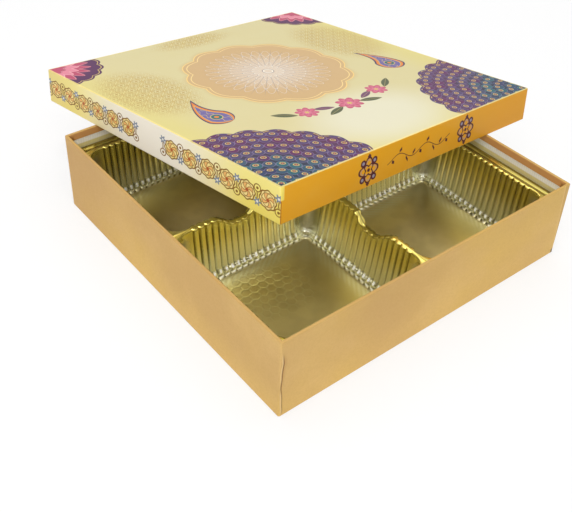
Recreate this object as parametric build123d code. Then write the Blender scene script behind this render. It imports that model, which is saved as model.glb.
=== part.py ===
"""Square four-compartment sweet box with its lid lying askew on top.

Every length is in millimetres. The origin is the middle of the base's underside, +Z is up, and X and Y
run along the base's sides. The nearest corner in the usual view is the one at -X, -Y.
Each piece is written to parts/NAME.step where it lies when the box is at rest.
"""
import os
from math import cos, radians, sin, tan

from build123d import *

# Board and paper
board = 1.5            # grey board of the base and the lid
paper = 0.25           # covering paper, glued over the board
tape = 0.12            # gummed paper tape that stays the folded corners
edge_radius = 1.2      # outside radius of a covered upright corner
corner_slit = 0.2      # gap between two wall panels where they meet at a corner
tape_leg = 18.0        # how far the tape reaches along each wall
tape_margin = 3.0      # bare board left above and below the tape
mitre_slit = 0.4       # cut in the turned-in paper at each inner corner
score_width = 0.8      # crease pressed along each fold, on the inside
score_depth = 0.3
overrun = 1.0          # how far every cutting body passes the face that it cuts

# Base
base_side = 230.0
base_height = 56.0
base_turn_in = 5.0     # paper folded over the rim, down the inside of the wall

# Lid
lid_clearance = 0.4    # between the closed lid's walls and the base, each side
lid_height = 23.0
lid_turn_in = 9.0
lid_yaw = 5.5          # degrees that the lid lies turned on the base
lid_shift_x = 29.0     # how far the lid lies off the base's middle
lid_shift_y = 63.0
lid_rest_gap = 0.25    # air left under the lid's three touching points
slope_rounds = 40      # rounds in which the lid's two slopes settle

# Insert, vacuum formed from one metallised sheet
sheet = 0.35
insert_clearance = 0.4     # between the flange and the turned-in paper, each side
insert_seat_gap = 0.1      # between the pockets' floors and the board
flange_depth = 11.8        # flange below the base's rim
flange_strip = 2.6         # flat strip outside the step
flange_radius = 4.0
step_drop = 0.8            # the lands between the pockets lie lower than the strip
step_radius = 7.0
land_width = 4.2           # between the step and a pocket
ridge_width = 5.0          # between two pockets
pocket_radius = 10.0       # upright corners of a pocket, at the lands
pocket_draft = 5.7         # degrees
foot_bevel = 3.0           # slant between a pocket's wall and its floor
foot_height = 4.2          # the ribs end this far above a pocket's floor
foot_ledge = 0.1           # least width of the ledge that the ribs end on

# Upright ribs of the pockets' walls
rib_pitch = 4.6
rib_margin = 2.0           # least plain stretch between a corner's round and the first rib
rib_half_angle = 52.0      # degrees that a rib turns from its crown to its side
rib_facets = 3             # flats that stand for a rib's round
rib_back_facets = 2        # the same on the sheet's hidden side
rib_stand = 0.05           # the valleys between ribs stand this far off the plain wall

# Finger notches, one in each arm of the cross of ridges
notch_centre = 58.0        # from the middle of the box
notch_width = 31.0
notch_floor = 14.0
notch_depth = 8.0
notch_radius = 5.0
notch_reach = 12.0         # each way across the ridge

# Derived sizes of the base
base_board_side = base_side - 2 * paper
base_board_height = base_height - 2 * paper
base_inner_side = base_board_side - 2 * board
base_mouth_side = base_inner_side - 2 * paper
base_floor_z = paper + board

# Derived sizes of the lid
lid_wall = board + 2 * paper
lid_side = base_side + 2 * (lid_clearance + lid_wall)
lid_ceiling = lid_height - paper - board

# Derived sizes of the insert
insert_side = base_mouth_side - 2 * insert_clearance
flange_z = base_height - flange_depth
land_z = flange_z - step_drop
insert_bottom_z = base_floor_z + insert_seat_gap
step_side = insert_side - 2 * flange_strip
pocket_side = step_side / 2 - land_width - ridge_width / 2
pocket_centre = (pocket_side + ridge_width) / 2
pocket_straight = pocket_side - 2 * pocket_radius
rib_count = int((pocket_straight - 2 * rib_margin) // rib_pitch)
rib_radius = rib_pitch / (2 * sin(radians(rib_half_angle)))
rib_height = rib_radius * (1 - cos(radians(rib_half_angle)))
foot_inset = rib_stand + rib_height + foot_ledge


def upright_block(side, low, high, radius=0):
    """A square block from one height to another, with rounded upright corners."""
    outline = RectangleRounded(side, side, radius) if radius > 0 else Rectangle(side, side)
    return extrude(Plane.XY.offset(low) * outline, high - low)


def at_four_corners(piece):
    """The piece and its copies turned to the other three corners."""
    return [Rot(0, 0, 90 * turn) * piece for turn in range(4)]


def folded_tray(side, height, radius):
    """A tray cut and folded from one sheet of board: walls slit apart at the corners, folds creased."""
    tray = upright_block(side, 0, height, radius)
    tray -= upright_block(side - 2 * board, board, height + overrun)
    slit_length = 2 * board + overrun
    slit = Pos(side / 2 - board / 2, side / 2 - board / 2, board + height / 2) * (
        Rot(0, 0, 45) * Box(slit_length, corner_slit, height))
    tray -= at_four_corners(slit)
    crease = Pos(side / 2 - board - score_width / 2, 0, board - score_depth / 2) * (
        Box(score_width, side - 2 * board - 4 * score_width, score_depth))
    tray -= at_four_corners(crease)
    return tray


def corner_tape(side, height, radius):
    """Tape folded round one upright corner of a board tray, glued to its outside."""
    low = tape_margin
    high = height - tape_margin
    band = upright_block(side + 2 * tape, low, high, radius + tape)
    band -= upright_block(side, low - overrun, high + overrun, radius)
    reach = tape_leg + overrun
    corner = Pos(side / 2 - tape_leg + reach / 2, side / 2 - tape_leg + reach / 2, height / 2)
    return band & (corner * Box(reach, reach, height))


def covering(side, height, turn_in, tapes):
    """Paper glued over a board tray: under the floor, up the walls, over the rim and down inside."""
    inner = side - 2 * paper - 2 * board
    mouth = inner - 2 * paper
    rim = height - paper
    skin = upright_block(side, 0, height, edge_radius)
    skin -= upright_block(side - 2 * paper, paper, rim, edge_radius - paper)
    skin -= upright_block(mouth, rim - overrun, height + overrun)
    fold = upright_block(inner, rim - turn_in, rim + paper / 2)
    fold -= upright_block(mouth, rim - turn_in - overrun, height + overrun)
    mitre = Pos(inner / 2, inner / 2, rim - turn_in / 2 - overrun / 2) * (
        Rot(0, 0, 45) * Box(2 * overrun, mitre_slit, turn_in + overrun))
    fold -= at_four_corners(mitre)
    skin += fold
    for piece in tapes:
        skin -= piece
    return skin


def covered_tray(side, height, turn_in):
    """Board tray, its four corner tapes and its covering, standing on the floor with the mouth up."""
    board_side = side - 2 * paper
    board_height = height - 2 * paper
    board_radius = edge_radius - paper
    lift = Pos(0, 0, paper)
    tray = lift * folded_tray(board_side, board_height, board_radius)
    tapes = [lift * piece for piece in at_four_corners(corner_tape(board_side, board_height, board_radius))]
    return tray, tapes, covering(side, height, turn_in, tapes)


def drafted_body(low, high, skin, inset=0.0):
    """Plain body of a pocket between two heights, moved in by an inset and widening upwards by its draft.

    The skin moves it out to the sheet's hidden side.
    """
    inset += (land_z - low) * tan(radians(pocket_draft)) - skin
    side = pocket_side - 2 * inset
    outline = Plane.XY.offset(low) * RectangleRounded(side, side, pocket_radius - inset)
    return extrude(outline, high - low, taper=-pocket_draft)


def rib_strip(low, high, skin):
    """Ribs of the wall on the -Y side: a row of faceted scallops pushed along the wall's slope.

    On the sheet's hidden side the ribs keep their centres, with a flat between each two.
    """
    turn = radians(rib_half_angle)
    facets = rib_back_facets if skin > 0 else rib_facets
    radius = rib_radius - skin
    centre = rib_stand + rib_height - rib_radius
    shoulder = centre + radius * cos(turn)
    end = rib_count * rib_pitch / 2
    points = [(end, shoulder), (end, -skin - overrun), (-end, -skin - overrun), (-end, shoulder)]
    for index in range(rib_count):
        middle = (index + 1 / 2) * rib_pitch - end
        first = 0 if skin > 0 or index > 0 else 1
        last = facets if skin > 0 else facets - 1
        for corner in range(first, last + 1):
            lean = turn * (2 * corner / facets - 1)
            points.append((middle + radius * sin(lean), centre + radius * cos(lean)))
    profile_face = make_face(Polyline(*points, close=True))
    slope = tan(radians(pocket_draft))
    foot_of_wall = (0, (land_z - low) * slope - pocket_side / 2, low)
    up_the_wall = Vector(0, -slope, 1).normalized()
    profile = Plane(origin=foot_of_wall, x_dir=(1, 0, 0), z_dir=up_the_wall) * profile_face
    return extrude(profile, (high - low) / up_the_wall.Z, dir=up_the_wall)


def pocket_body(top, skin):
    """Drafted body of one pocket, centred on the Z axis: ribbed walls over a plain dish with a slanted foot."""
    low = insert_bottom_z + sheet - skin
    ledge = low + foot_height
    walls = drafted_body(ledge, top, skin)
    walls -= at_four_corners(rib_strip(ledge - overrun, top + overrun, skin))
    dish = drafted_body(low, ledge, skin, foot_inset)
    dish = chamfer(dish.edges().group_by(Axis.Z)[0], foot_bevel + skin)
    return walls + dish


def at_four_pockets(piece):
    """The piece in each of the four pockets."""
    spread = [(-1, -1), (1, -1), (1, 1), (-1, 1)]
    return [Pos(pocket_centre * x, pocket_centre * y, 0) * piece for x, y in spread]


def notch_profile(lift=0.0):
    """Outline of a finger notch across a ridge, in the plane along the ridge, open at the top."""
    top = land_z + step_drop
    floor_z = land_z - notch_depth - lift
    outline = Polyline(
        (notch_centre - notch_width / 2 - lift, top), (notch_centre - notch_floor / 2 - lift, floor_z),
        (notch_centre + notch_floor / 2 + lift, floor_z), (notch_centre + notch_width / 2 + lift, top),
        close=True)
    face = make_face(outline)
    low = face.vertices().sort_by(Axis.Y)[:2]
    return fillet(low, notch_radius)


def across_ridge(profile):
    """A notch profile made a body that reaches both ways across the ridge along +X."""
    return extrude(Plane.XZ * profile, notch_reach, both=True)


def flange_plate():
    """The sheet's level parts: the strip along the wall, the step and the lands with the ridges."""
    strip = upright_block(insert_side, flange_z - sheet, flange_z, flange_radius)
    strip -= upright_block(step_side, flange_z - sheet - overrun, flange_z + overrun, step_radius)
    riser = upright_block(step_side + 2 * sheet, land_z - sheet, flange_z - sheet, step_radius + sheet)
    riser -= upright_block(step_side, land_z, flange_z, step_radius)
    return strip + riser


def insert_tray():
    """The four-pocket insert: one formed sheet with ribbed pockets, lands, ridges and finger notches."""
    tray = flange_plate()
    tray += at_four_pockets(pocket_body(land_z - sheet, sheet))
    notches = at_four_corners(across_ridge(notch_profile()))
    saddles = at_four_corners(across_ridge(notch_profile(sheet)))
    plate_bottom = land_z - sheet
    band = upright_block(step_side, land_z - notch_depth - 2 * sheet, plate_bottom)
    tray += [piece & band for piece in saddles]
    tray -= notches
    tray -= at_four_pockets(pocket_body(land_z, 0.0))
    return tray


def lid_plane():
    """Plane of the lid's open rim as it lies on the base, touching at three places.

    The two skirts that meet at the near corner lie with their inner edges on the base's right and back
    rims, and the ceiling lies on the corner between them. The two slopes are found in turn.
    """
    rim = base_side / 2
    skirt = lid_side / 2 - lid_wall
    slope_x = slope_y = 0.0
    for _ in range(slope_rounds):
        normal = Vector(-slope_x, -slope_y, 1).normalized()
        along = Vector(cos(radians(lid_yaw)), sin(radians(lid_yaw)), 0)
        along = (along - normal * along.dot(normal)).normalized()
        across = normal.cross(along)
        step = (rim - lid_shift_x + across.X * skirt) / along.X
        touch_y = lid_shift_y - across.Y * skirt + step * along.Y
        step = (rim - lid_shift_y + along.Y * skirt) / across.Y
        touch_x = lid_shift_x - along.X * skirt + step * across.X
        drop = lid_ceiling / normal.Z
        slope_x = -drop / (rim - touch_x)
        slope_y = -drop / (rim - touch_y)
    height = base_height - slope_x * (rim - lid_shift_x) - slope_y * (touch_y - lid_shift_y)
    middle = Vector(lid_shift_x, lid_shift_y, height + lid_rest_gap)
    return Plane(origin=middle, x_dir=along, z_dir=normal)


def write(name, shape):
    """One named piece to its own file."""
    solids = shape.solids()
    body = solids[0] if len(solids) == 1 else Compound(children=list(solids))
    body.label = name
    export_step(body, f"parts/{name}.step")


def main():
    os.makedirs("parts", exist_ok=True)
    corners = ("right_back", "left_back", "left_front", "right_front")

    tray, tapes, skin = covered_tray(base_side, base_height, base_turn_in)
    write("base_board", tray)
    write("base_wrap", skin)
    for corner, piece in zip(corners, tapes):
        write(f"base_corner_tape_{corner}", piece)

    write("insert_tray", insert_tray())

    tray, tapes, skin = covered_tray(lid_side, lid_height, lid_turn_in)
    turned_over = Pos(0, 0, lid_height) * Rot(180, 0, 0)
    turned_corners = ("right_front", "left_front", "left_back", "right_back")
    rest = lid_plane().location * turned_over
    write("lid_board", rest * tray)
    write("lid_wrap", rest * skin)
    for corner, piece in zip(turned_corners, tapes):
        write(f"lid_corner_tape_{corner}", rest * piece)


main()
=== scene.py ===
"""Looks of the four-compartment sweet box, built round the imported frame. Lengths are in millimetres."""
import math

import bmesh
import bpy
from mathutils import Matrix, Vector


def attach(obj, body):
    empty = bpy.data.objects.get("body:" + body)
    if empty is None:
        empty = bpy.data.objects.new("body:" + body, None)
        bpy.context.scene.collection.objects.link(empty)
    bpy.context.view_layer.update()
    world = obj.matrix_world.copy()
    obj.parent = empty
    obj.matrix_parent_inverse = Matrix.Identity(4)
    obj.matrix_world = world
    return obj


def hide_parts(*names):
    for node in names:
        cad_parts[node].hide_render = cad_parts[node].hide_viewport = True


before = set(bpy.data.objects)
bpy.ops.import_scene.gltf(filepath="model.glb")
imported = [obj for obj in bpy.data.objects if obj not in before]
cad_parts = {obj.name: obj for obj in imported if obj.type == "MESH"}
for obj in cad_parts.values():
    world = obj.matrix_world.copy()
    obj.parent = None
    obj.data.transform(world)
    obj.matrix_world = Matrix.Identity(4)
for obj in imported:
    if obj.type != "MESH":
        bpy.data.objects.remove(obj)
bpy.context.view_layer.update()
MM = 0.001

# Board and paper
BOARD = 1.5
PAPER = 0.25
WALL = BOARD + 2 * PAPER
CORNER_ROUND = 1.2
FOLD_ROUND = 0.55
INNER_ROUND = 0.3
ROUND_STEPS = 6
FOLD_STEPS = 3
WALL_SHARES = (-1.0, -0.99, -0.97, -0.94, -0.85, -0.5, 0.0, 0.5, 0.85, 0.94, 0.97, 0.99, 1.0)
SMALL_FACE = 12.0

# Base and lid
BASE_SIDE = 230.0
BASE_HALF = BASE_SIDE / 2
BASE_HEIGHT = 56.0
BASE_TURN_IN = 5.0
LID_CLEARANCE = 0.4
LID_SIDE = BASE_SIDE + 2 * (LID_CLEARANCE + WALL)
LID_HALF = LID_SIDE / 2
LID_HEIGHT = 23.0
LID_TURN_IN = 9.0
BASE_LEVELS = (4.0, 8.0, 14.0, 22.0, 30.0, 38.0, 44.0, 48.0, 52.0)
LID_LEVELS = (6.0, 12.0, 17.0)
LID_YAW = 5.5
LID_SHIFT = (29.0, 63.0)
LID_REST_GAP = 0.25
SLOPE_ROUNDS = 40

# Insert
SHEET = 0.35
FLANGE_Z = 44.2
LAND_Z = 43.4
FLOOR_Z = 2.2
POCKET_RADIUS = 10.0
DRAFT = math.tan(math.radians(5.7))
RIDGE_HALF = 2.5
RIDGE_TOP_HALF = 1.35
STEP_HALF = 110.0
POCKET_FAR = 105.8
POCKET_MIDDLE = (RIDGE_HALF + POCKET_FAR) / 2
POCKET_HALF = (POCKET_FAR - RIDGE_HALF) / 2
FLANGE_HALF = 112.6
STEP_RADIUS = 7.0
FLANGE_RADIUS = 4.0
RIB_PITCH = 4.6
RIB_COUNT = 17
RIB_TURN = math.radians(52)
RIB_STEPS = 6
CORNER_STEPS = 10
FOOT_RADIUS = 4.0
FOOT_STAND = 1.3
NOTCH_CENTRE = 58.0
NOTCH_INNER = 15.5
NOTCH_OUTER = 19.5
NOTCH_FLOOR_HALF = 3.5
NOTCH_DEPTH = 8.0
HONEYCOMB = 6.2
BOARD_RIDGE_PITCH = 1.7

BLACK = (0.0, 0.0, 0.0, 1.0)
WHITE = (1.0, 1.0, 1.0, 1.0)


# ---- Lid

def lid_pose():
    """Where the lid lies: two skirts on the base's rim and the ceiling on the corner between them."""
    rim = BASE_HALF
    skirt = LID_HALF - WALL
    slope_x = slope_y = 0.0
    yaw = math.radians(LID_YAW)
    for _ in range(SLOPE_ROUNDS):
        normal = Vector((-slope_x, -slope_y, 1.0)).normalized()
        along = Vector((math.cos(yaw), math.sin(yaw), 0.0))
        along = (along - normal * along.dot(normal)).normalized()
        across = normal.cross(along)
        step = (rim - LID_SHIFT[0] + across.x * skirt) / along.x
        touch_y = LID_SHIFT[1] - across.y * skirt + step * along.y
        step = (rim - LID_SHIFT[1] + along.y * skirt) / across.y
        touch_x = LID_SHIFT[0] - along.x * skirt + step * across.x
        drop = (LID_HEIGHT - PAPER - BOARD) / normal.z
        slope_x = -drop / (rim - touch_x)
        slope_y = -drop / (rim - touch_y)
    height = BASE_HEIGHT - slope_x * (rim - LID_SHIFT[0]) - slope_y * (touch_y - LID_SHIFT[1])
    turn = Matrix((along, across, normal)).transposed().to_4x4()
    return Matrix.Translation((*LID_SHIFT, height + LID_REST_GAP)) @ turn


LID_POSE = lid_pose()
LID_POSE_METRES = Matrix.Translation(LID_POSE.to_translation() * MM) @ LID_POSE.to_3x3().to_4x4()


# ---- Shader expressions

def tone(red, green, blue):
    """A colour as a screen shows it, 0 to 255, made linear for the shader."""
    channels = []
    for level in (red, green, blue):
        share = level / 255
        channels.append(share / 12.92 if share <= 0.04045 else ((share + 0.055) / 1.055) ** 2.4)
    return (*channels, 1.0)


def operator(operation):
    """One of Python's operators and its reflected form, each of which adds a Math node."""
    def plain(self, other):
        return self.maths(operation, other)

    def reflected(self, other):
        return self.nodes.node("ShaderNodeMath", {"operation": operation}, {0: other, 1: self})

    return plain, reflected


class Value:
    """A number that varies over a surface: the output socket of a node, with Python's operators."""

    def __init__(self, nodes, socket):
        self.nodes = nodes
        self.socket = socket

    def maths(self, operation, *others):
        return self.nodes.node("ShaderNodeMath", {"operation": operation}, dict(enumerate((self, *others))))

    __add__, __radd__ = operator("ADD")
    __sub__, __rsub__ = operator("SUBTRACT")
    __mul__, __rmul__ = operator("MULTIPLY")
    __truediv__, __rtruediv__ = operator("DIVIDE")
    __mod__, __rmod__ = operator("FLOORED_MODULO")
    __pow__, __rpow__ = operator("POWER")
    __or__, __ror__ = operator("MAXIMUM")
    __and__, __rand__ = operator("MINIMUM")

    def __lt__(self, other):
        return self.maths("LESS_THAN", other)

    def __gt__(self, other):
        return self.maths("GREATER_THAN", other)

    def __abs__(self):
        return self.maths("ABSOLUTE")

    def __neg__(self):
        return self.maths("MULTIPLY", -1.0)

    def sine(self):
        return self.maths("SINE")

    def cosine(self):
        return self.maths("COSINE")

    def root(self):
        return self.maths("SQRT")

    def whole(self):
        return self.maths("FLOOR")

    def angle(self, across):
        """The angle whose rise is this value and whose run is the other."""
        return self.maths("ARCTAN2", across)

    def step(self, low, high):
        """0 below low, 1 above high and a soft slope between; high may be the smaller one."""
        return self.nodes.node(
            "ShaderNodeMapRange", {"interpolation_type": "SMOOTHSTEP"}, {"Value": self, 1: low, 2: high})


class Nodes:
    """A tree of nodes, and the one way in which a node comes into it."""

    def __init__(self, tree):
        self.tree = tree

    def node(self, kind, settings, inputs, output=0):
        """One node, with its settings made first and then its sockets' values or links."""
        made = self.tree.nodes.new(kind)
        for key, value in settings.items():
            setattr(made, key, value)
        for key, value in inputs.items():
            if isinstance(value, Value):
                self.tree.links.new(value.socket, made.inputs[key])
            else:
                made.inputs[key].default_value = value
        return Value(self, made.outputs[output])

    def seen(self):
        """1 where the camera, a gloss or a clear piece looks here, and 0 for the light that this gives."""
        camera, gloss, clear = (
            self.node("ShaderNodeLightPath", {}, {}, f"Is {ray} Ray")
            for ray in ("Camera", "Glossy", "Transmission"))
        return camera | gloss | clear

    def show(self, shader, share, surface, output):
        """Puts another shader over a surface's own, by a share."""
        both = self.node("ShaderNodeMixShader", {}, {0: share, 1: Value(self, surface.outputs[0]), 2: shader})
        self.tree.links.new(both.socket, self.tree.nodes[output].inputs["Surface"])


class Shader(Nodes):
    """A material with one Principled shader, and the nodes that feed it."""

    def __init__(self, name, **constants):
        self.material = bpy.data.materials.new(name)
        self.material.use_nodes = True
        super().__init__(self.material.node_tree)
        self.surface = self.tree.nodes["Principled BSDF"]
        self.colour = None
        for socket, value in constants.items():
            self.surface.inputs[socket.replace("_", " ")].default_value = value

    def feed(self, socket, value):
        """Links a value to a socket of the surface."""
        self.tree.links.new(value.socket, self.surface.inputs[socket])

    def place(self, matrix=None):
        """The point on the piece, in metres, in the piece's own axes or in those of a matrix."""
        point = self.node("ShaderNodeTexCoord", {}, {}, "Object")
        if matrix is None:
            return point
        back = matrix.inverted()
        return self.node(
            "ShaderNodeMapping", {},
            {"Vector": point, "Location": back.to_translation(), "Rotation": back.to_euler("XYZ")})

    def axes(self, point):
        """The three coordinates of a point, in millimetres."""
        scaled = self.node("ShaderNodeVectorMath", {"operation": "SCALE"}, {0: point, "Scale": 1 / MM})
        return [self.node("ShaderNodeSeparateXYZ", {}, {0: scaled}, axis) for axis in "XYZ"]

    def radius(self, x, y):
        """How far a place is from where both values are 0."""
        return (x * x + y * y).root()

    def noise(self, point, scale, detail=2.0, rough=0.5):
        """Soft mottling between 0 and 1."""
        return self.node(
            "ShaderNodeTexNoise", {},
            {"Vector": point, "Scale": scale, "Detail": detail, "Roughness": rough}, "Fac")

    def mix(self, share, low, high):
        """One colour going over to another."""
        return self.node("ShaderNodeMix", {"data_type": "RGBA"}, {0: share, 6: low, 7: high}, 2)

    def lay(self, colour, share):
        """Lays a colour over what is there, as densely as its share says."""
        self.colour = self.mix(share, self.colour, colour)

    def bump(self, height, distance, strength, normal=None):
        """Height, with its unit's length in millimetres, as a bend of the surface's normal."""
        inputs = {"Height": height, "Distance": distance * MM, "Strength": strength}
        if normal is not None:
            inputs["Normal"] = normal
        return self.node("ShaderNodeBump", {}, inputs)


# ---- Materials

def covering_paper():
    """Golden-tan covering paper: mottled, with painted light and shade, and the loose folds of its glued
    corners.
    """
    paper = Shader("covering_paper", Specular_IOR_Level=0.3)
    point = paper.place()
    x, y, z = paper.axes(point)
    broad = paper.noise(point, 9.0, 2.0)
    cloud = paper.noise(point, 30.0, 3.0)
    fibre = paper.noise(point, 900.0, 4.0, 0.7)
    front, left = (axis < 0.3 - BASE_HALF for axis in (y, x))
    paper.colour = paper.mix(broad.step(0.35, 0.65), tone(204, 165, 100), tone(218, 180, 96))
    paper.lay(tone(219, 181, 116), cloud.step(0.4, 0.7) * 0.5)
    # painted light towards the bottom, and painted shade high on the front face and towards the far end of
    # the left face
    paper.lay(tone(238, 200, 116), z.step(26.0, 2.0) * 0.3)
    paper.lay(tone(178, 140, 82), z.step(22.0, 50.0) * front * 0.22)
    paper.lay(tone(192, 150, 96), y.step(10.0, 110.0) * left * 0.6)
    paper.lay(tone(186, 146, 84), fibre.step(0.35, 0.75) * 0.25)
    # the turned-in edge inside the rim and the rim's top, both darkened as painted shade
    paper.lay(tone(204, 150, 92), (abs(x) | abs(y)).step(BASE_HALF - 1.8, BASE_HALF - 2.0))
    paper.lay(tone(176, 136, 76), z.step(BASE_HEIGHT - 0.5, BASE_HEIGHT - 0.1) * 0.45)
    # the overlap at the near corner: a wavering lifted edge, with a painted highlight on its lip, a dark line
    # of painted shadow in the gap beside it and painted shade along one side
    wave = (z * 0.17 + 0.6).sine() * 0.5 + (z * 0.5).sine() * 0.15
    seam = x + BASE_HALF - 0.75 - wave
    reach = z.step(0.5, 4.0) * z.step(50.0, 40.0) * front
    gap = abs(seam - 0.85).step(0.5, 0.1) * reach
    lit_lip = abs(seam).step(0.6, 0.1) * reach
    shade = (seam - 1.0).step(2.6, 0.0) * (seam - 0.6).step(0.0, 0.4) * z.step(20.0, 34.0) * reach
    paper.lay(tone(170, 122, 66), shade * 0.4)
    paper.lay(tone(128, 84, 36), gap * (z.step(10.0, 30.0) * 0.4 + 0.45))
    paper.lay(tone(240, 206, 146), lit_lip * 0.7)
    # the paper drawn round the far end of the front wall, and the open slit at its foot, painted dark as
    # shade
    end = x - BASE_HALF + z * 0.085 + 0.5
    strip = end.step(-0.3, 0.3) * front
    paper.lay(tone(190, 150, 88), strip * 0.5)
    paper.lay(tone(236, 202, 142), abs(end).step(0.6, 0.1) * front * 0.5)
    slit_shadow = (x - BASE_HALF + 2.8).step(0.0, 0.8) * z.step(4.6, 2.6)
    paper.lay(tone(70, 48, 30), slit_shadow * 0.8)
    paper.feed("Base Color", paper.colour)
    paper.feed("Roughness", fibre.step(0.2, 0.8) * 0.15 + 0.52)
    fine = paper.bump(fibre, 0.02, 0.5, paper.bump(broad + cloud * 0.3, 1.0, 0.35))
    paper.feed("Normal", paper.bump(lit_lip - gap + strip * 0.3, 0.4, 0.7, fine))
    return paper.material


def lined_board():
    """Grey board with a white lining, faintly ridged, with painted yellow light reflected from the gold tray
    that it faces, just above the tray.
    """
    board = Shader("lined_board", Roughness=0.7, Specular_IOR_Level=0.3)
    point = board.place()
    x, y, z = board.axes(point)
    fleck = board.noise(point, 700.0, 3.0, 0.6)
    cloud = board.noise(point, 30.0)
    ridges = ((x + y) * (2 * math.pi / BOARD_RIDGE_PITCH)).sine()
    board.colour = board.mix(cloud, tone(240, 238, 232), tone(250, 248, 243))
    board.lay(tone(196, 190, 176), fleck.step(0.6, 0.75) * 0.3)
    board.lay(tone(205, 200, 186), ridges.step(0.2, 1.0) * 0.2)
    # painted reflection: yellow light from the gold tray on the lining just above it
    gold_reflection = z.step(FLANGE_Z + 3.2, FLANGE_Z + 2.2) * z.step(FLANGE_Z - 1.0, FLANGE_Z - 0.5)
    board.lay(tone(216, 200, 122), gold_reflection * 0.85)
    board.feed("Base Color", board.colour)
    board.feed("Normal", board.bump(fleck, 0.03, 0.6, board.bump(ridges, 0.08, 0.5)))
    return board.material


def gummed_tape():
    """Brown gummed paper tape."""
    tape = Shader("gummed_tape", Roughness=0.6)
    fibre = tape.noise(tape.place(), 500.0, 4.0, 0.7)
    tape.feed("Base Color", tape.mix(fibre, tone(176, 138, 92), tone(196, 160, 112)))
    tape.feed("Normal", tape.bump(fibre, 0.02, 0.6))
    return tape.material


def honeycomb(x, y, pitch):
    """1 on the walls between six-sided cells and 0 in them."""
    rise = pitch * math.sqrt(3)
    cells = []
    for shift in (0.0, 0.5):
        across = abs((x + shift * pitch) % pitch - pitch / 2)
        up = abs((y + shift * rise) % rise - rise / 2)
        cells.append((across * 0.5 + up * (math.sqrt(3) / 2)) | across)
    return (cells[0] & cells[1]).step(pitch * 0.35, pitch * 0.48)


def rib_wave(along):
    """0.5 on each rib's crest and 0 in the valleys, along a wall from its middle."""
    return abs(along * (1 / RIB_PITCH) % 1.0 - 0.5)


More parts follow.
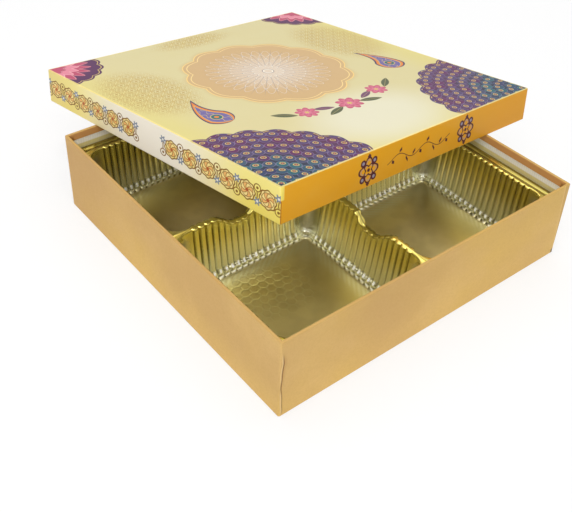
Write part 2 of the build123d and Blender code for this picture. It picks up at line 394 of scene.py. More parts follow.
def gold_film():
    """Gold metallised film, paler low on the walls, with painted light, shade, reflections and glints on its
    walls, floors and flange.
    """
    film = Shader("gold_film", Coat_Weight=0.3, Coat_Roughness=0.05, Coat_IOR=1.5, Emission_Strength=1.0)
    point = film.place()
    x, y, z = film.axes(point)
    cloud = film.noise(point, 40.0, 2.0)
    smudge = film.noise(point, 14.0, 2.0)
    bend = film.noise(point, 90.0, 1.0)

    # where it is: from the middle of its pocket towards the rim or to the right and back, and on which part
    out_x, out_y = (abs(axis) - POCKET_MIDDLE for axis in (x, y))
    in_x, in_y = (axis % (2 * POCKET_MIDDLE) - POCKET_MIDDLE for axis in (x, y))
    away = abs(out_x) | abs(out_y)
    to_corner = abs(out_x) & abs(out_y)
    outermost = x | y
    faces_x = abs(out_x) > abs(out_y)
    along = out_x + (out_y - out_x) * faces_x
    ribs_end = RIB_COUNT * RIB_PITCH / 2
    ribbed = abs(along).step(ribs_end + 0.2, ribs_end - 0.2)
    in_pocket = away.step(POCKET_HALF + 0.5, POCKET_HALF + 0.1)
    wall = z.step(6.0, 7.5) * in_pocket
    floor = z.step(FLOOR_Z + 1.6, FLOOR_Z + 0.3)
    # where the lid hangs over: painted lid shadow on the floor, its pale strokes and the glints
    lid_shadow = (x < 0.0) * (y > 0.0)

    # walls: painted shade where they face left or right, paler low down, and greyer in their corners, partly
    # as painted shade
    film.colour = film.mix(cloud, tone(224, 207, 104), tone(234, 218, 118))
    shaded = faces_x * z.step(43.0, 41.0) * (x.step(88.0, 98.0) * 0.25 + 0.4)
    film.lay(tone(166, 142, 56), shaded)
    low_wall_tone = film.mix(shaded, tone(220, 219, 184), tone(196, 193, 158))
    film.lay(low_wall_tone, z.step(36.0, 9.0))
    corner = to_corner.step(38.0, 47.0) * z.step(42.0, 36.0)
    film.lay(tone(160, 156, 138), corner * 0.8)

    # floors: painted shade to the right, in the front-left corners and under the lid, painted light near the
    # walls and in the back-right corners, and pale strokes of painted reflection running on from the ribs'
    # feet
    right = in_x.step(-5.0, 42.0) * (in_y.step(38.0, -15.0) * 0.8 + 0.2)
    far_right = right * (x > 0.0)
    lit = away.step(22.0, 48.0) * (0.7 - right * 0.6) * (1 - lid_shadow * 0.9)
    stroke = rib_wave(along + away * 1.3).step(0.05, 0.45)
    apron_reflection = (away + bend * 7.0).step(36.5, 43.0) * (stroke * 0.35 + 0.2)
    apron_reflection = apron_reflection * (1 - in_x.step(20.0, 38.0) * 0.4) * (1 - (far_right * 0.5 | lid_shadow * 0.7))
    ground = film.mix(lit, tone(246, 231, 166), tone(238, 231, 188))
    for share, colour in (
            (right * 0.8, tone(200, 184, 122)),
            (far_right * 0.6, tone(158, 147, 104)),
            (lid_shadow * in_x.step(0.0, -36.0) * 0.8, tone(132, 112, 66)),
            ((in_x & in_y).step(10.0, 38.0) * 0.6, tone(250, 240, 196)),
            (bend.step(0.38, 0.62) * 0.3, tone(212, 196, 132)),
            ((in_x | in_y).step(0.0, -36.0) * 0.5, tone(206, 190, 126)),
            (apron_reflection, tone(248, 246, 218))):
        ground = film.mix(share, ground, colour)
    film.lay(ground, floor)
    pressed = film.radius((x + 63.0) * 0.75, y + 36.0).step(32.0, 12.0)
    patch = pressed * 0.9 + smudge.step(0.45, 0.6) * 0.1
    cells = honeycomb(x + cloud * 5.0, y + smudge * 6.0, HONEYCOMB) * floor * patch
    film.lay(tone(255, 250, 200), cells * 0.24)

    # ribs: painted shade in the valleys and a painted highlight low on the crests
    crest = rib_wave(along)
    valley = crest.step(0.2, 0.03) * ribbed
    film.lay(tone(96, 82, 26), valley * wall * (0.75 - shaded * 0.4) * (z.step(8.0, 30.0) * 0.6 + 0.4))
    crest_highlight = crest.step(0.38, 0.48) * z.step(34.0, 12.0) * ribbed * wall * (0.75 - faces_x * 0.4)
    film.lay(tone(248, 246, 214), crest_highlight)

    # feet: a pale band with a row of painted white glints and painted shade between them, and slanting dashes
    # of painted highlight and shade below them
    foot = z.step(4.8, 5.5) * z.step(8.4, 7.2)
    glint = crest.step(0.28, 0.38) * ribbed * foot
    film.lay(tone(228, 228, 206), foot * 0.6 * in_pocket)
    film.lay(tone(255, 255, 252), glint)
    film.lay(tone(128, 120, 76), crest.step(0.24, 0.12) * ribbed * foot * 0.6)
    lean = rib_wave(along + z * 1.4)
    dash = z.step(2.4, 2.8) * z.step(4.8, 3.8) * ribbed
    film.lay(tone(252, 250, 232), lean.step(0.3, 0.42) * dash * 0.8)
    film.lay(tone(124, 116, 74), lean.step(0.26, 0.12) * dash * 0.8)

    # flange: painted shade in the groove and on the outer lands at the right and the back, with a painted
    # highlight streak
    groove_shade = z.step(LAND_Z - 0.1, LAND_Z - 0.5) * away.step(POCKET_HALF + 1.9, POCKET_HALF + 2.4)
    film.lay(tone(84, 66, 18), groove_shade * 0.7)
    shaded_edge_land = outermost.step(POCKET_FAR + 0.4, POCKET_FAR + 1.0) * z.step(42.0, 42.6)
    streak_highlight = abs(outermost - 109.4).step(0.5, 0.2)
    film.lay(tone(112, 90, 26), shaded_edge_land * (0.7 - streak_highlight * 0.6))
    film.feed("Base Color", film.colour)

    film.feed("Metallic", 0.92 - glint * 0.3 - crest_highlight * 0.2)
    low = z.step(6.0, FLOOR_Z + 0.2)
    duller = (glint | corner * wall) * 0.18 + shaded * wall * 0.12 + wall * 0.04
    film.feed("Roughness", cloud * 0.05 + low * 0.14 + duller + 0.15)
    # painted glints made to glow by emission, dimmed under the lid's painted shadow
    glint_glow = crest.step(0.33, 0.43) * z.step(5.4, 6.0) * z.step(7.6, 6.8) * ribbed
    film.feed("Emission Color", film.mix(glint_glow * (1 - lid_shadow * 0.7), BLACK, tone(140, 140, 136)))

    # crinkles where the flange was pulled round the tray's corners, and puckers in the pockets' low corners
    crinkle = (bend * 40.0).sine() * (abs(x) & abs(y)).step(98.0, 106.0) * z.step(LAND_Z - 2.0, LAND_Z - 0.6)
    tight = to_corner.step(35.0, 40.0) * z.step(18.0, 7.0) * z.step(FLOOR_Z + 0.1, FLOOR_Z + 0.8)
    pucker = film.noise(point, 420.0, 1.0) * tight
    relief = cells * 0.16 + cloud * 0.1 + bend * 0.12 + crinkle * 0.22 + pucker * 1.8
    film.feed("Normal", film.bump(relief, 1.0, 0.6))
    return film.material


class Print(Shader):
    """Printed paper of the lid: inks laid over each other on a ground, with a satin varnish."""

    def __init__(self, name, ground):
        super().__init__(name, Specular_IOR_Level=0.12, Coat_Weight=0.06, Coat_Roughness=0.15)
        point = self.place(LID_POSE_METRES)
        self.x, self.y, self.z = self.axes(point)
        self.grain = self.noise(point, 60.0, 3.0)
        self.colour = self.mix(self.grain * 0.2, ground, tone(214, 196, 130))

    def inside(self, distance, soft=0.15):
        """1 where a signed distance in millimetres is below zero."""
        return distance.step(soft, -soft)

    def line(self, distance, width):
        """1 within a line of a width along the zero of a distance."""
        return self.inside(abs(distance) - width / 2)

    def dry(self):
        """The finished material."""
        self.feed("Base Color", self.colour)
        self.feed("Roughness", self.grain * 0.1 + 0.38)
        self.feed("Normal", self.bump(self.grain, 0.12, 0.3))
        return self.material


PLUM = tone(96, 38, 86)
NAVY = tone(52, 50, 92)
TEAL = tone(38, 104, 108)
LILAC = tone(112, 100, 156)
ORANGE_INK = tone(224, 132, 58)
GOLD_INK = tone(214, 186, 112)
PALE_GOLD = tone(224, 200, 134)
IVORY = tone(246, 240, 226)
PEACH = tone(206, 172, 122)
ROSE = tone(186, 72, 104)
BLUSH = tone(224, 134, 152)
LEAF = tone(86, 92, 62)
BROWN_GOLD = tone(132, 92, 32)
SKIRT_YELLOW = tone(238, 218, 104)

# How high up the lid's sides the middle of their prints runs.
BAND_Z = 11.2


def rosette(art, x, y, size, petals, turn=0.0):
    """Open flower seen from above, in two rounds of petals."""
    away = art.radius(x, y)
    angle = y.angle(x) + turn
    for share, spin in ((1.0, 0.0), (0.62, math.pi / petals)):
        wave = abs(((angle + spin) * (petals / 2)).cosine())
        edge = away - (wave * 0.3 + 0.7) * (size * share)
        body = art.inside(edge)
        art.lay(ROSE, body)
        art.lay(BLUSH, body * (away * (-1.0 / (size * share)) + 1.1).step(0.0, 0.7) * 0.8)
        art.lay(PLUM, body * wave.step(0.22, 0.05) * 0.75)
    art.lay(GOLD_INK, art.inside(away - size * 0.18))


def along_and_across(x, y, place, angle):
    """A point as seen from another place: how far along a direction, and how far across it."""
    on_x, on_y = x - place[0], y - place[1]
    cosine, sine = math.cos(angle), math.sin(angle)
    return on_x * cosine + on_y * sine, on_y * cosine - on_x * sine


def leaf(art, x, y, place, angle, length, width, colour):
    """A pointed leaf from its middle, with a vein."""
    along, across = along_and_across(x, y, place, angle)
    across = abs(across)
    share = along * (2 / length)
    edge = across - (1 - share * share) * (width / 2)
    art.lay(colour, art.inside(edge))
    art.lay(PALE_GOLD, art.line(across, 0.25) * art.inside(edge) * 0.6)


def paisley(art, x, y, place, angle, size, bend):
    """A curved drop with a round belly, in bands of ink."""
    along, across = along_and_across(x, y, place, angle)
    tail = along | 0.0
    across = across - tail * tail * bend
    belly = (along & 0.0) * (1 / size)
    width = (1 - belly * belly | 0.0).root() * ((tail * (-1 / (2.3 * size)) + 1 | 0.0) ** 0.8)
    edge = abs(across) - width * size + 0.25
    art.lay(NAVY, art.inside(edge))
    art.lay(ORANGE_INK, art.inside(edge + 1.3))
    art.lay(LILAC, art.inside(edge + 3.4))
    art.lay(GOLD_INK, art.line(edge + 3.4, 0.55))
    art.lay(GOLD_INK, art.line((along * 1.1).sine() * 1.2 + abs(across) - 2.4, 0.5) * art.inside(edge + 4.4))
    eye = art.radius(along, across)
    art.lay(TEAL, art.inside(eye - size * 0.34))
    art.lay(GOLD_INK, art.line(eye - size * 0.34, 0.6))
    art.lay(ORANGE_INK, art.inside(eye - size * 0.14))


def scale_fan(art, out, up, pitch, rows):
    """A quarter round of overlapping scale leaves with eyes, out from a corner."""
    away = art.radius(out, up)
    angle = up.angle(out) * (2 / math.pi)
    row = (away * (1 / pitch)).whole()
    count = (row * 1.7 + 1.6).whole()
    cell = angle * count + (row % 2.0) * 0.5
    number = cell.whole()
    side = (cell - number - 0.5) / count * (math.pi / 2) * away
    rise = away - row * pitch
    lot = ((row * 12.9 + number * 78.2).sine() * 437.5) % 1.0
    share = rise * (1 / pitch)
    edge = abs(side) - ((share * math.pi).sine() | 0.0) ** 0.6 * (pitch * 0.5)
    outline = away - abs((angle * 13.0 * math.pi / 2).sine()) * 3.4 - pitch * rows
    fan = art.inside(outline)
    ground = art.mix(away.step(pitch * 3.0, pitch * (rows - 1.0)), tone(40, 52, 70), tone(86, 46, 80))
    art.lay(ground, fan)
    art.lay(GOLD_INK, art.line(outline + 1.4, 0.7))
    first = art.mix(lot, TEAL, NAVY)
    second = art.mix(lot.step(0.3, 0.9), tone(84, 62, 104), PLUM)
    shade = art.mix((row + lot).step(2.6, rows - 2.4), first, second)
    body = art.inside(edge) * fan * (away > 4.0)
    art.lay(shade, body)
    art.lay(tone(140, 126, 160), art.line(edge + 0.5, 0.4) * body * 0.7)
    eye = art.radius(side, (rise - pitch * 0.6) * 1.2)
    art.lay(GOLD_INK, art.inside(eye - 1.9) * body)
    art.lay(NAVY, art.inside(eye - 1.25) * body)
    art.lay(ORANGE_INK, art.inside(eye - 0.6) * body)


def lotus_corner(art, out, up, size):
    """A plum quarter round with a gold edge and a half-open lotus in it."""
    away = art.radius(out, up)
    angle = up.angle(out)
    wave = abs((angle * 9.0).sine())
    edge = away - wave * 2.2 - size
    body = art.inside(edge)
    art.lay(PLUM, body)
    art.lay(tone(74, 30, 78), body * away.step(size * 0.4, size) * 0.7)
    art.lay(GOLD_INK, art.line(edge + 1.8, 0.6))
    for reach, petals, turn, colour in ((0.82, 5, 0.0, ROSE), (0.6, 4, 0.5, BLUSH), (0.36, 3, 0.0, ROSE)):
        cell = (angle * (2 * petals / math.pi) + turn) % 1.0 - 0.5
        side = abs(cell) * (math.pi / (2 * petals)) * away
        share = away * (1 / (reach * size))
        petal = side - ((share * math.pi * 0.98).sine() | 0.0) ** 0.7 * (size * 0.13)
        inner = art.inside(petal) * (share < 1.0)
        art.lay(colour, inner)
        art.lay(IVORY, art.line(petal + 0.7, 0.35) * inner * 0.5)


def lattice(art, share):
    """Gold lattice of overlapping rings with a dot in each."""
    pitch = 12.0
    for shift in (0.0, 0.5):
        across = (art.x + shift * pitch) % pitch - pitch / 2
        up = (art.y + shift * pitch) % pitch - pitch / 2
        away = art.radius(across, up)
        turn = up.angle(across)
        art.lay(tone(198, 170, 96), art.line(away - (turn * 4).cosine() * 0.9 - pitch * 0.46, 0.9) * share)
        art.lay(tone(186, 156, 84), art.line(away - (turn * 8).sine() * 0.5 - 2.6, 0.8) * share)
        art.lay(tone(184, 148, 76), art.inside(away - 1.0) * share)


def medallion(art, x, y, size):
    """A scalloped peach round with a fine ivory lace of petals."""
    away = art.radius(x, y)
    angle = y.angle(x)
    scallop = abs((angle * 6.0).sine()) * 4.2
    edge = away - scallop - size
    art.lay(tone(206, 170, 112), edge.step(5.0, -2.0) * 0.5)
    body = art.inside(edge)
    art.lay(PEACH, body)
    art.lay(tone(220, 202, 180), body * away.step(size * 0.8, size * 0.15))
    art.lay(tone(238, 205, 128), art.line(edge, 0.9))
    art.lay(tone(242, 214, 146), art.line(edge + 3.0, 0.7))
    fade = away.step(size * 0.9, size * 0.65)
    art.lay(tone(158, 138, 134), art.line(away - 4.1, 0.6))
    art.lay(IVORY, art.line(away - 3.3, 0.8))
    for petals, base, rise, spin in (
            (16, 6.0, 5.5, 0.0), (16, 10.0, 8.5, 0.5), (32, 19.0, 8.0, 0.0), (32, 26.0, 9.5, 0.5),
            (32, 35.0, 9.0, 0.0)):
        petal = away - abs((angle * (petals / 2) + spin * math.pi).sine()) * rise - base
        art.lay(tone(150, 130, 130), art.line(petal - 0.6, 0.6) * fade * 0.7)
        art.lay(IVORY, art.line(petal, 0.7) * fade * 0.9)
    ray = abs((angle * 16.0).sine()) * away / 16.0
    art.lay(tone(160, 140, 136), art.line(ray, 0.5) * (away > 12.0) * fade * 0.6)


def print_top():
    """The lid's top: a scalloped medallion, scale fans, paisleys, lotuses and a gold lattice on cream."""
    art = Print("print_top", tone(215, 204, 154))
    x, y = abs(art.x), art.y
    art.lay(tone(222, 208, 118), (x | -y).step(78.0, 117.0) * 0.6)
    art.lay(tone(228, 224, 200), art.radius(x, (y + 84.0) * 1.3).step(72.0, 20.0) * 0.8)
    side_patch = art.radius((x - 90.0) * 1.5, y - 38.0).step(52.0, 26.0)
    back_patch = art.radius(x * 0.4, y - 106.0).step(17.0, 6.0)
    lattice(art, (side_patch | back_patch) * 0.9)
    scale_fan(art, LID_HALF - x, y + LID_HALF, 8.2, 9)
    lotus_corner(art, LID_HALF - x, LID_HALF - y, 36.0)
    medallion(art, x, y - 20.0, 56.0)
    paisley(art, x, y, (82.0, -22.0), math.radians(62), 11.5, 0.028)
    leaf(art, x, y, (16.0, -62.0), math.radians(-18), 18.0, 5.5, LEAF)
    leaf(art, x, y, (48.0, -47.0), math.radians(38), 18.0, 5.5, LEAF)
    leaf(art, x, y, (20.0, -54.0), math.radians(22), 16.0, 5.0, tone(112, 70, 100))
    rosette(art, x, y + 58.0, 9.5, 8)
    rosette(art, x - 33.0, y + 52.0, 8.0, 8, 0.2)
    # painted highlight along the edges of the lid's top
    art.lay(tone(246, 226, 142), (x | abs(y)).step(116.0, 116.6) * 0.75)
    return art.dry()


def print_scroll_side():
    """The yellow sides: a running band of ringed flowers, with a plain stretch in the middle."""
    art = Print("print_scroll_side", SKIRT_YELLOW)
    along = abs(art.y)
    # painted light towards the top edge of the side, and painted shade towards its far end
    art.lay(tone(246, 234, 150), art.z.step(8.0, 21.0) * 0.6)
    art.lay(tone(222, 200, 134), art.y.step(60.0, 117.0) * 0.6)
    art.lay(tone(240, 232, 216), along.step(98.0, 18.0))
    pitch = 17.0
    start = 14.0
    up = (art.z - BAND_Z) * 1.16
    across = (along - start) % pitch - pitch / 2
    band = along > start
    away = art.radius(across, up)
    angle = up.angle(across)
    art.lay(tone(238, 216, 142), art.inside(away - 6.4) * band)
    swirl = (angle * 4.0 + away * 0.75).sine() * away * 0.25
    ring = art.inside(away - 6.0) * band
    art.lay(tone(230, 176, 102), art.inside(swirl - 0.3) * art.inside(away - 4.9) * ring)
    art.lay(BROWN_GOLD, art.line(swirl, 0.5) * (away > 1.5) * ring)
    art.lay(BROWN_GOLD, art.line(away - (angle * 8.0).cosine() * 0.35 - 6.5, 0.95) * band)
    art.lay(BROWN_GOLD, art.line(away - 4.9, 0.45) * band)
    art.lay(tone(176, 88, 44), art.inside(away - 1.3) * band)
    # between the rings a blue-grey floret and a curl, which change places from gap to gap
    flip = 1 - (((along - start) * (1 / pitch) + 0.5).whole() % 2.0) * 2
    edge = pitch / 2 - abs(across)
    high = up * flip
    gap = along > start - 3.4
    bud = art.radius(edge, high - 4.6)
    turn = (high - 4.6).angle(edge)
    art.lay(tone(118, 130, 148), art.inside(bud - (turn * 6.0).cosine() * 0.8 - 2.4) * gap)
    art.lay(tone(226, 222, 214), art.inside(bud - 0.9) * gap)
    curl = art.radius(edge, high + 5.0)
    art.lay(BROWN_GOLD, art.line(curl - 2.6, 0.75) * gap)
    art.lay(BROWN_GOLD, art.inside(curl - 1.0) * gap)
    stalk = art.line(edge - 0.2 - abs(up) * 0.12, 0.5) * art.inside(abs(up) - 3.0)
    art.lay(BROWN_GOLD, stalk * gap)
    return art.dry()


def print_orange_side():
    """The orange sides: two dark lozenges with a leafy vine between them."""
    art = Print("print_orange_side", tone(226, 157, 8))
    # painted light towards the top edge of the side, and painted shade towards its far end
    art.lay(tone(234, 168, 24), art.z.step(4.0, 20.0) * 0.5)
    art.lay(tone(206, 138, 6), art.x.step(20.0, 117.0) * 0.45)
    dark = tone(84, 40, 48)
    along = abs(art.x)
    up = art.z - BAND_Z
    across = along - 47.0
    away = art.radius(across, up)
    angle = up.angle(across)
    pale = tone(150, 142, 160)
    corner = art.radius(abs(across) - 4.9, abs(up) - 5.3)
    petal = away - (angle * 4.0).cosine() * 1.7 - 6.4
    art.lay(pale, art.inside(corner - 1.7))
    art.lay(dark, art.line(petal, 1.4))
    art.lay(pale, art.line(petal + 1.5, 0.5))
    art.lay(dark, art.line(away + (angle * 4.0).cosine() * 1.1 - 3.6, 1.3))
    art.lay(dark, art.line(corner - 1.7, 1.2))
    art.lay(dark, art.inside(away - 1.2))
    art.lay(dark, art.inside(abs(across) + abs(abs(up) - 9.0) - 1.6))
    vine = (art.x * (math.pi / 13.0)).sine() * 2.4
    stretch = art.inside(along - 30.0)
    art.lay(dark, art.line(up - vine, 0.5) * stretch)
    step = (art.x - 3.25) % 6.5 - 3.25
    lean = (up - vine) * (1 - ((art.x - 3.25) * (1 / 6.5)).whole() % 2.0 * 2)
    bud = abs(step - lean * 0.5) * 1.6 + abs(lean - 2.3) - 1.9
    art.lay(dark, art.inside(bud) * stretch)
    # at the near corner the yellow side's paper laps over, above a fold darkened as painted shade
    near = art.inside(art.y + 110.0)
    tab = art.inside(art.x + 114.8) * art.inside(14.5 - art.z) * near
    art.lay(SKIRT_YELLOW, tab)
    fold_shade = art.inside(art.x + 116.5, 0.25) * art.inside(art.z - 14.0) * near
    art.lay(tone(150, 86, 26), fold_shade * 0.75)
    return art.dry()


# ---- Mesh tools

def piece(name, bm, body, materials, *replaced):
    """A finished mesh as a piece that rides on a body, in metres and with its place in its mesh."""
    bmesh.ops.scale(bm, vec=(MM, MM, MM), verts=bm.verts)
    mesh = bpy.data.meshes.new(name)
    bm.to_mesh(mesh)
    bm.free()
    for material in materials:
        mesh.materials.append(material)
    made = bpy.data.objects.new(name, mesh)
    bpy.context.collection.objects.link(made)
    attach(made, body)
    if replaced:
        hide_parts(*replaced)
    return made


def thicken(made, thickness):
    """Gives a sheet its thickness on its hidden side."""
    solid = made.modifiers.new("thickness", "SOLIDIFY")
    solid.thickness = thickness * MM
    solid.offset = -1.0


def tray_ring(half, radius, z):
    """Places round a square with rounded corners, anticlockwise, the same number at any size."""
    straight = half - radius
    places = []
    for quarter in range(4):
        turn = Matrix.Rotation(quarter * math.pi / 2, 2)
        for share in WALL_SHARES:
            places.append((*(turn @ Vector((half, share * straight))), z))
        for step in range(1, ROUND_STEPS):
            angle = step / ROUND_STEPS * math.pi / 2
            corner = Vector((straight + radius * math.cos(angle), straight + radius * math.sin(angle)))
            places.append((*(turn @ corner), z))
    return places


def grow_ring(bm, edges, places):
    """A new ring of faces outside some boundary edges, its corners taken from a list by their order."""
    order = bm.verts.layers.int["order"]
    new = bmesh.ops.extrude_edge_only(bm, edges=edges)["geom"]
    for item in new:
        if isinstance(item, bmesh.types.BMVert):
            item.co = places[item[order]]
    return [item for item in new if isinstance(item, bmesh.types.BMEdge) and item.is_boundary]


def start_rings(places):
    """A mesh with one flat face, whose corners remember their order."""
    bm = bmesh.new()
    bmesh.ops.create_circle(bm, cap_ends=True, segments=len(places), radius=1.0)
    order = bm.verts.layers.int.new("order")
    for index, vert in enumerate(bm.verts):
        vert[order] = index
        vert.co = places[index]
    return bm, [edge for edge in bm.edges if edge.is_boundary]


def turn_floor(bm, way):
    """Turns all faces of a mesh one way, so that its lowest face looks up (1) or down (-1)."""
    bmesh.ops.recalc_face_normals(bm, faces=bm.faces)
    lowest = min(bm.faces, key=lambda face: face.calc_center_median().z)
    if lowest.normal.z * way < 0:
        bmesh.ops.reverse_faces(bm, faces=bm.faces)


def paper_shell(side, height, turn_in, walls):
    """Covering of an open tray with its mouth up: floor, walls, rim and the edge turned in."""
    half = side / 2

    def ring(inset, z):
        return tray_ring(half - inset, max(CORNER_ROUND - inset, INNER_ROUND), z)

    arc = [step / FOLD_STEPS * math.pi / 2 for step in range(1, FOLD_STEPS + 1)]
    near, far = FOLD_ROUND, WALL - FOLD_ROUND
    profile = [(near * (1 - math.sin(a)), near * (1 - math.cos(a))) for a in arc]
    profile += [(0.0, level) for level in walls]
    profile += [(0.0, height - near)]
    profile += [(near * (1 - math.cos(a)), height - near * (1 - math.sin(a))) for a in arc]
    profile += [(far, height)]
    profile += [(far + near * math.sin(a), height - near * (1 - math.cos(a))) for a in arc]
    profile += [(WALL, height - turn_in)]
    bm, edges = start_rings(ring(near, 0.0))
    for inset, z in profile:
        edges = grow_ring(bm, edges, ring(inset, z))
    turn_floor(bm, -1)
    for face in bm.faces:
        face.smooth = face.calc_area() < SMALL_FACE
    return bm


# ---- Insert

# The sheet's rings, in order from a pocket's floor out to the flange's edge.
# On the round foot: how far round it lies, from 1 at the floor to 0 at the wall, and the ribs' share.
FOOT_RINGS = ((1.0, 0.0), (0.88, 0.32), (0.72, 0.48), (0.5, 0.58), (0.25, 0.66), (0.0, 0.72))
# On the wall: height, the ribs' share, how far it stands into the pocket, and how far it rolls out.
WALL_RINGS = (
    (6.9, 0.8, 0.7 * FOOT_STAND, 0.0), (7.7, 0.95, 0.3 * FOOT_STAND, 0.0), (9.0, 1.0, 0.0, 0.0),
    (20.0, 1.0, 0.0, 0.0), (32.0, 1.0, 0.0, 0.0), (41.6, 1.0, 0.0, 0.0), (42.8, 0.97, 0.0, 0.07),
    (43.15, 0.88, 0.0, 0.26), (43.34, 0.5, 0.0, 0.6))
# On the land: its near and far sides, its far corner's radius, its far height and the ridges' crown.
LAND_RINGS = (
    (0.45, 107.0, 8.8, LAND_Z, 0.0), (0.34, 108.2, 7.9, LAND_Z, 0.05),
    (0.24, 108.8, 7.6, LAND_Z - 0.6, 0.08), (0.12, 109.4, 7.3, LAND_Z + 0.1, 0.1),
    (0.0, STEP_HALF, STEP_RADIUS, LAND_Z + 0.7, 0.1))
# On the flange: its far side, its corner's radius and its height.
FLANGE_RINGS = (
    (110.5, 6.8, FLANGE_Z), (111.1, 6.0, FLANGE_Z - 0.15), (112.3, 4.4, FLANGE_Z - 0.15),
    (FLANGE_HALF, FLANGE_RADIUS, FLANGE_Z - 0.3))
# The face in the middle of a floor, as a share of the floor, and the pocket walls' dip at a notch, as a
# share of the ridge's.
FLOOR_FACE_SHARE = 0.97
NOTCH_DRAW = 1.06
LEAST_RADIUS = 1e-4
MERGE = 1e-3


def notch_dip(along):
    """How far a finger notch lowers the ridge, at a place along it."""
    reach = NOTCH_OUTER if along > NOTCH_CENTRE else NOTCH_INNER
    share = (abs(along - NOTCH_CENTRE) - NOTCH_FLOOR_HALF) / (reach - NOTCH_FLOOR_HALF)
    share = min(max(share, 0.0), 1.0)
    return NOTCH_DEPTH * (1.0 - share * share * (3.0 - 2.0 * share))


def rib_stations():
    """Places along a straight wall, each with the rib's height there."""
    start = RIDGE_HALF + POCKET_RADIUS
    end = POCKET_FAR - POCKET_RADIUS
    radius = RIB_PITCH / (2 * math.sin(RIB_TURN))
    lead = (end - start - RIB_COUNT * RIB_PITCH) / 2
    stations = [(start, 0.0, False)]
    for index in range(RIB_COUNT):
        middle = start + lead + (index + 0.5) * RIB_PITCH
        first = 0 if index == 0 else 1
        for corner in range(first, RIB_STEPS + 1):
            lean = RIB_TURN * (2 * corner / RIB_STEPS - 1)
            height = radius * (math.cos(lean) - math.cos(RIB_TURN))
            stations.append((middle + radius * math.sin(lean), height, corner in (0, RIB_STEPS)))
    stations.append((end, 0.0, False))
    return stations


def corner_run(first, last, radius, steps):
    """Places in a corner, out along one leg and back along the other.

    Each is how far out it lies on the nearer leg, how far it has left that leg, and whether that is
    the last leg.
    """
    quarter = radius * math.pi / 4
    run = []
    for index in range(1, steps):
        half = steps / 2
        if index <= half:
            leg, share, past_middle = first, index / half, False
        else:
            leg, share, past_middle = last, (steps - index) / half, True
        way = share * (leg - radius + quarter)
        if way <= leg - radius:
            out, rise = way, 0.0
        else:
            turn = (way - leg + radius) / radius
            out = leg - radius + radius * math.sin(turn)
            rise = radius * (1 - math.cos(turn))
        run.append((out, rise, past_middle))
    return run


STATIONS = rib_stations()


def ring_places(low, high, low_radius, high_radius, lift, rib_share=0.0):
    """One ring of the insert's quarter: (x, y, z) places anticlockwise from the wall along X.

    low and high are where its near and far sides lie. lift gives the height from the side and the
    place along it. Ribs stand off the sides by their share.
    """
    start, end = STATIONS[0][0], STATIONS[-1][0]
    near, far = start - low, high - end
    corners = (
        (far, near, low_radius), (far, far, high_radius), (near, far, low_radius), (near, near, low_radius))
    places = []
    for side in range(4):
        line = STATIONS if side in (0, 1) else STATIONS[::-1]
        for along, rib, _ in line:
            off = rib * rib_share
            z = lift(side, along)
            x, y = {
                0: (along, low + off), 1: (high - off, along),
                2: (along, high - off), 3: (low + off, along)}[side]
            places.append((x, y, z))
        first, last, radius = corners[side]
        z = lift(side, start if side in (2, 3) else end)
        for out, rise, past_middle in corner_run(first, last, max(radius, LEAST_RADIUS), CORNER_STEPS):
            if past_middle:
                on = first - rise
                x, y = {
                    0: (end + on, start - out), 1: (end + out, end + on),
                    2: (start - on, end + out), 3: (start - out, start - on)}[side]
            else:
                x, y = {
                    0: (end + out, low + rise), 1: (high - rise, end + out),
                    2: (start - out, high - rise), 3: (low + rise, start - out)}[side]
            places.append((x, y, z))
    return places


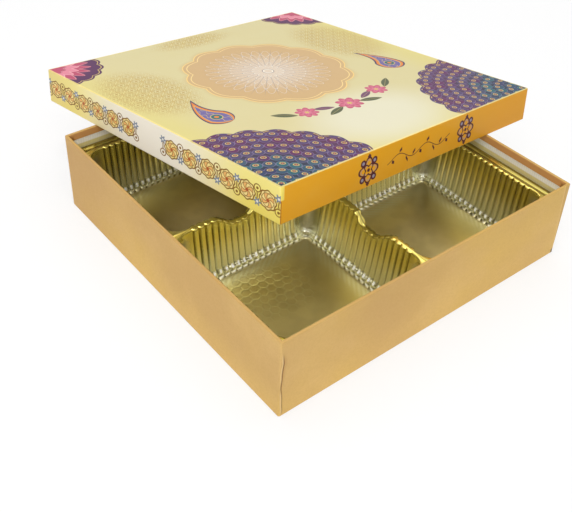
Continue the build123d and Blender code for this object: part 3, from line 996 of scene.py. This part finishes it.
def insert_mesh():
    """The formed sheet: one quarter grown ring by ring from a pocket's floor out, then mirrored."""
    def wall_ring(level, ribs, stand, out):
        """Ring on a pocket's wall; the finger notches draw their two walls down with them."""
        def height(side, along):
            dip = notch_dip(along) * NOTCH_DRAW if side in (0, 3) else 0.0
            return level - dip * (level - FLOOR_Z) / (LAND_Z - FLOOR_Z)
        inset = (LAND_Z - level) * DRAFT + stand - out
        radius = POCKET_RADIUS - inset
        narrowed = (RIDGE_HALF - RIDGE_TOP_HALF) * (level - FLOOR_Z) / (LAND_Z - FLOOR_Z)
        return ring_places(RIDGE_HALF + inset - narrowed, POCKET_FAR - inset, radius, radius, height, ribs)

    def foot_ring(turn, ribs, shrink=1.0):
        """Ring on the round between wall and floor, from 0 at the wall to 1 at the floor."""
        angle = turn * math.pi / 2
        level = FLOOR_Z + FOOT_RADIUS * (1 - math.sin(angle))
        inset = (LAND_Z - FLOOR_Z - FOOT_RADIUS) * DRAFT + FOOT_STAND + FOOT_RADIUS * (1 - math.cos(angle))
        radius = POCKET_RADIUS - inset
        places = ring_places(
            RIDGE_HALF + inset, POCKET_FAR - inset, radius, radius, lambda side, along: level, ribs)
        return [(
            POCKET_MIDDLE + (x - POCKET_MIDDLE) * shrink,
            POCKET_MIDDLE + (y - POCKET_MIDDLE) * shrink, z) for x, y, z in places]

    def land_ring(low, high, high_radius, high_z, crown=0.0):
        """Ring on the land round a pocket, or on the flange; its near sides run along the two ridges."""
        def height(side, along):
            if side in (0, 3):
                return LAND_Z - notch_dip(along) + crown
            return high_z
        return ring_places(low, high, 0.0, high_radius, height)

    bm, rim = start_rings(foot_ring(1.0, 0.0, FLOOR_FACE_SHARE))
    for row in FOOT_RINGS:
        rim = grow_ring(bm, rim, foot_ring(*row))
    for row in WALL_RINGS:
        rim = grow_ring(bm, rim, wall_ring(*row))
    for row in LAND_RINGS:
        rim = grow_ring(bm, rim, land_ring(*row))
    # the flange is only on the two outer sides of the quarter
    order = bm.verts.layers.int["order"]
    per_side = len(STATIONS) + CORNER_STEPS - 1
    first = len(STATIONS) + CORNER_STEPS // 2 - 1
    last = first + 2 * per_side
    rim = [edge for edge in rim if all(first <= vert[order] <= last for vert in edge.verts)]
    for row in FLANGE_RINGS:
        rim = grow_ring(bm, rim, land_ring(0.0, *row))
    for axis in "XY":
        bmesh.ops.mirror(bm, geom=bm.verts[:] + bm.edges[:] + bm.faces[:], axis=axis, merge_dist=MERGE)
    bmesh.ops.remove_doubles(bm, verts=bm.verts, dist=MERGE)
    turn_floor(bm, 1)
    # all is smooth but the sharp valleys between the ribs, below the rolled edge
    valleys = {
        side * per_side + (place if side in (0, 1) else len(STATIONS) - 1 - place)
        for side in range(4) for place, (_, _, valley) in enumerate(STATIONS) if valley}
    for face in bm.faces:
        face.smooth = True
    for edge in bm.edges:
        low, high = edge.verts
        edge.smooth = not (low[order] == high[order] and low[order] in valleys and low.co.z < LAND_Z - 0.2)
    return bm


# ---- Pieces

paper = covering_paper()
board = lined_board()
tape = gummed_tape()
film = gold_film()

base_covering = piece(
    "base_covering", paper_shell(BASE_SIDE, BASE_HEIGHT, BASE_TURN_IN, BASE_LEVELS), "base", [paper],
    "base_wrap")
thicken(base_covering, PAPER)

insert = piece("insert_formed", insert_mesh(), "insert", [film], "insert_tray")
thicken(insert, SHEET)

# the lid is made mouth up too, its faces numbered for the top, the yellow sides and the orange sides
lid_bm = paper_shell(LID_SIDE, LID_HEIGHT, LID_TURN_IN, LID_LEVELS)
for face in lid_bm.faces:
    outward = [abs(part) for part in face.normal]
    face.material_index = 0 if outward[2] > max(outward[:2]) else 1 if outward[0] > outward[1] else 2
turned_over = Matrix.Translation((0, 0, LID_HEIGHT)) @ Matrix.Rotation(math.pi, 4, "X")
bmesh.ops.transform(lid_bm, matrix=LID_POSE @ turned_over, verts=lid_bm.verts)
lid_covering = piece(
    "lid_covering", lid_bm, "lid", [print_top(), print_scroll_side(), print_orange_side()], "lid_wrap")
thicken(lid_covering, PAPER)

for name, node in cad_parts.items():
    if name.endswith("_board"):
        dress = board
    elif "tape" in name:
        dress = tape
    else:
        continue
    node.data.materials.clear()
    node.data.materials.append(dress)


# ---- Floor, light and camera

AZIMUTH = math.radians(-39.78)
ELEVATION = math.radians(37.07)
DISTANCE = 607.4
ROLL = math.radians(2.48)
FOCAL_PIXELS = 898.4
CAMERA_OFFSET = (-14.96, 21.04)
PICTURE_WIDTH = 572
CENTRE_RISE = 60
SENSOR = 36.0
SKY_LIGHT = 0.62
FLOOR_HALF = 3.0
FLOOR_TONE = (0.93, 0.93, 0.93, 1.0)
FLOOR_WHITENESS = 0.65
# Name, place in metres, watts and the side of its square in metres.
LAMPS = (
    ("key", (-0.75, -0.75, 1.3), 11.0, 1.2), ("top", (0.3, 0.5, 1.5), 5.0, 1.4),
    ("sparkle", (-0.15, -0.1, 1.5), 2.5, 0.2))


def make_camera():
    """The photograph's viewpoint, with the frame moved down as the photograph's was."""
    back = Vector((
        math.sin(AZIMUTH) * math.cos(ELEVATION), -math.cos(AZIMUTH) * math.cos(ELEVATION),
        math.sin(ELEVATION)))
    right = Vector((math.cos(AZIMUTH), math.sin(AZIMUTH), 0.0))
    up = back.cross(right)
    tilted_right = right * math.cos(ROLL) + up * math.sin(ROLL)
    tilted_up = up * math.cos(ROLL) - right * math.sin(ROLL)
    place = back * DISTANCE + tilted_right * CAMERA_OFFSET[0] + tilted_up * CAMERA_OFFSET[1]
    camera = bpy.data.objects.new("camera", bpy.data.cameras.new("camera"))
    turn = Matrix((tilted_right, tilted_up, back)).transposed().to_4x4()
    camera.matrix_world = Matrix.Translation(place * MM) @ turn
    camera.data.sensor_width = SENSOR
    camera.data.lens = FOCAL_PIXELS / PICTURE_WIDTH * SENSOR
    camera.data.shift_y = -CENTRE_RISE / PICTURE_WIDTH
    camera.data.clip_start = 0.01
    camera.data.clip_end = 20.0
    bpy.context.collection.objects.link(camera)
    bpy.context.scene.camera = camera


def make_sky():
    """A white world that lights the object at a plain level."""
    world = bpy.data.worlds.new("studio")
    world.use_nodes = True
    bpy.context.scene.world = world
    sky = Nodes(world.node_tree)
    light = sky.tree.nodes["Background"]
    light.inputs["Color"].default_value = WHITE
    light.inputs["Strength"].default_value = SKY_LIGHT
    white = sky.node("ShaderNodeBackground", {}, {"Color": WHITE, "Strength": 1.0})
    sky.show(white, sky.seen(), light, "World Output")


def make_floor():
    """A white floor that keeps the object's shadow."""
    bm = bmesh.new()
    bmesh.ops.create_grid(bm, x_segments=1, y_segments=1, size=FLOOR_HALF)
    mesh = bpy.data.meshes.new("floor")
    bm.to_mesh(mesh)
    bm.free()
    floor = bpy.data.objects.new("floor", mesh)
    bpy.context.collection.objects.link(floor)
    shader = Shader("floor", Base_Color=FLOOR_TONE, Roughness=0.9)
    gold_reflection = shader.node("ShaderNodeEmission", {}, {})
    shader.show(gold_reflection, shader.seen() * FLOOR_WHITENESS, shader.surface, "Material Output")
    mesh.materials.append(shader.material)


def make_lamps():
    """Soft square lamps that face the middle of the object's foot."""
    for name, place, energy, size in LAMPS:
        data = bpy.data.lights.new(name, "AREA")
        data.energy = energy
        data.shape = "SQUARE"
        data.size = size
        lamp = bpy.data.objects.new(name, data)
        lamp.location = place
        lamp.rotation_euler = Vector(place).to_track_quat("Z", "Y").to_euler()
        bpy.context.collection.objects.link(lamp)


bpy.context.scene.view_settings.view_transform = "Standard"
make_camera()
make_sky()
make_floor()
make_lamps()
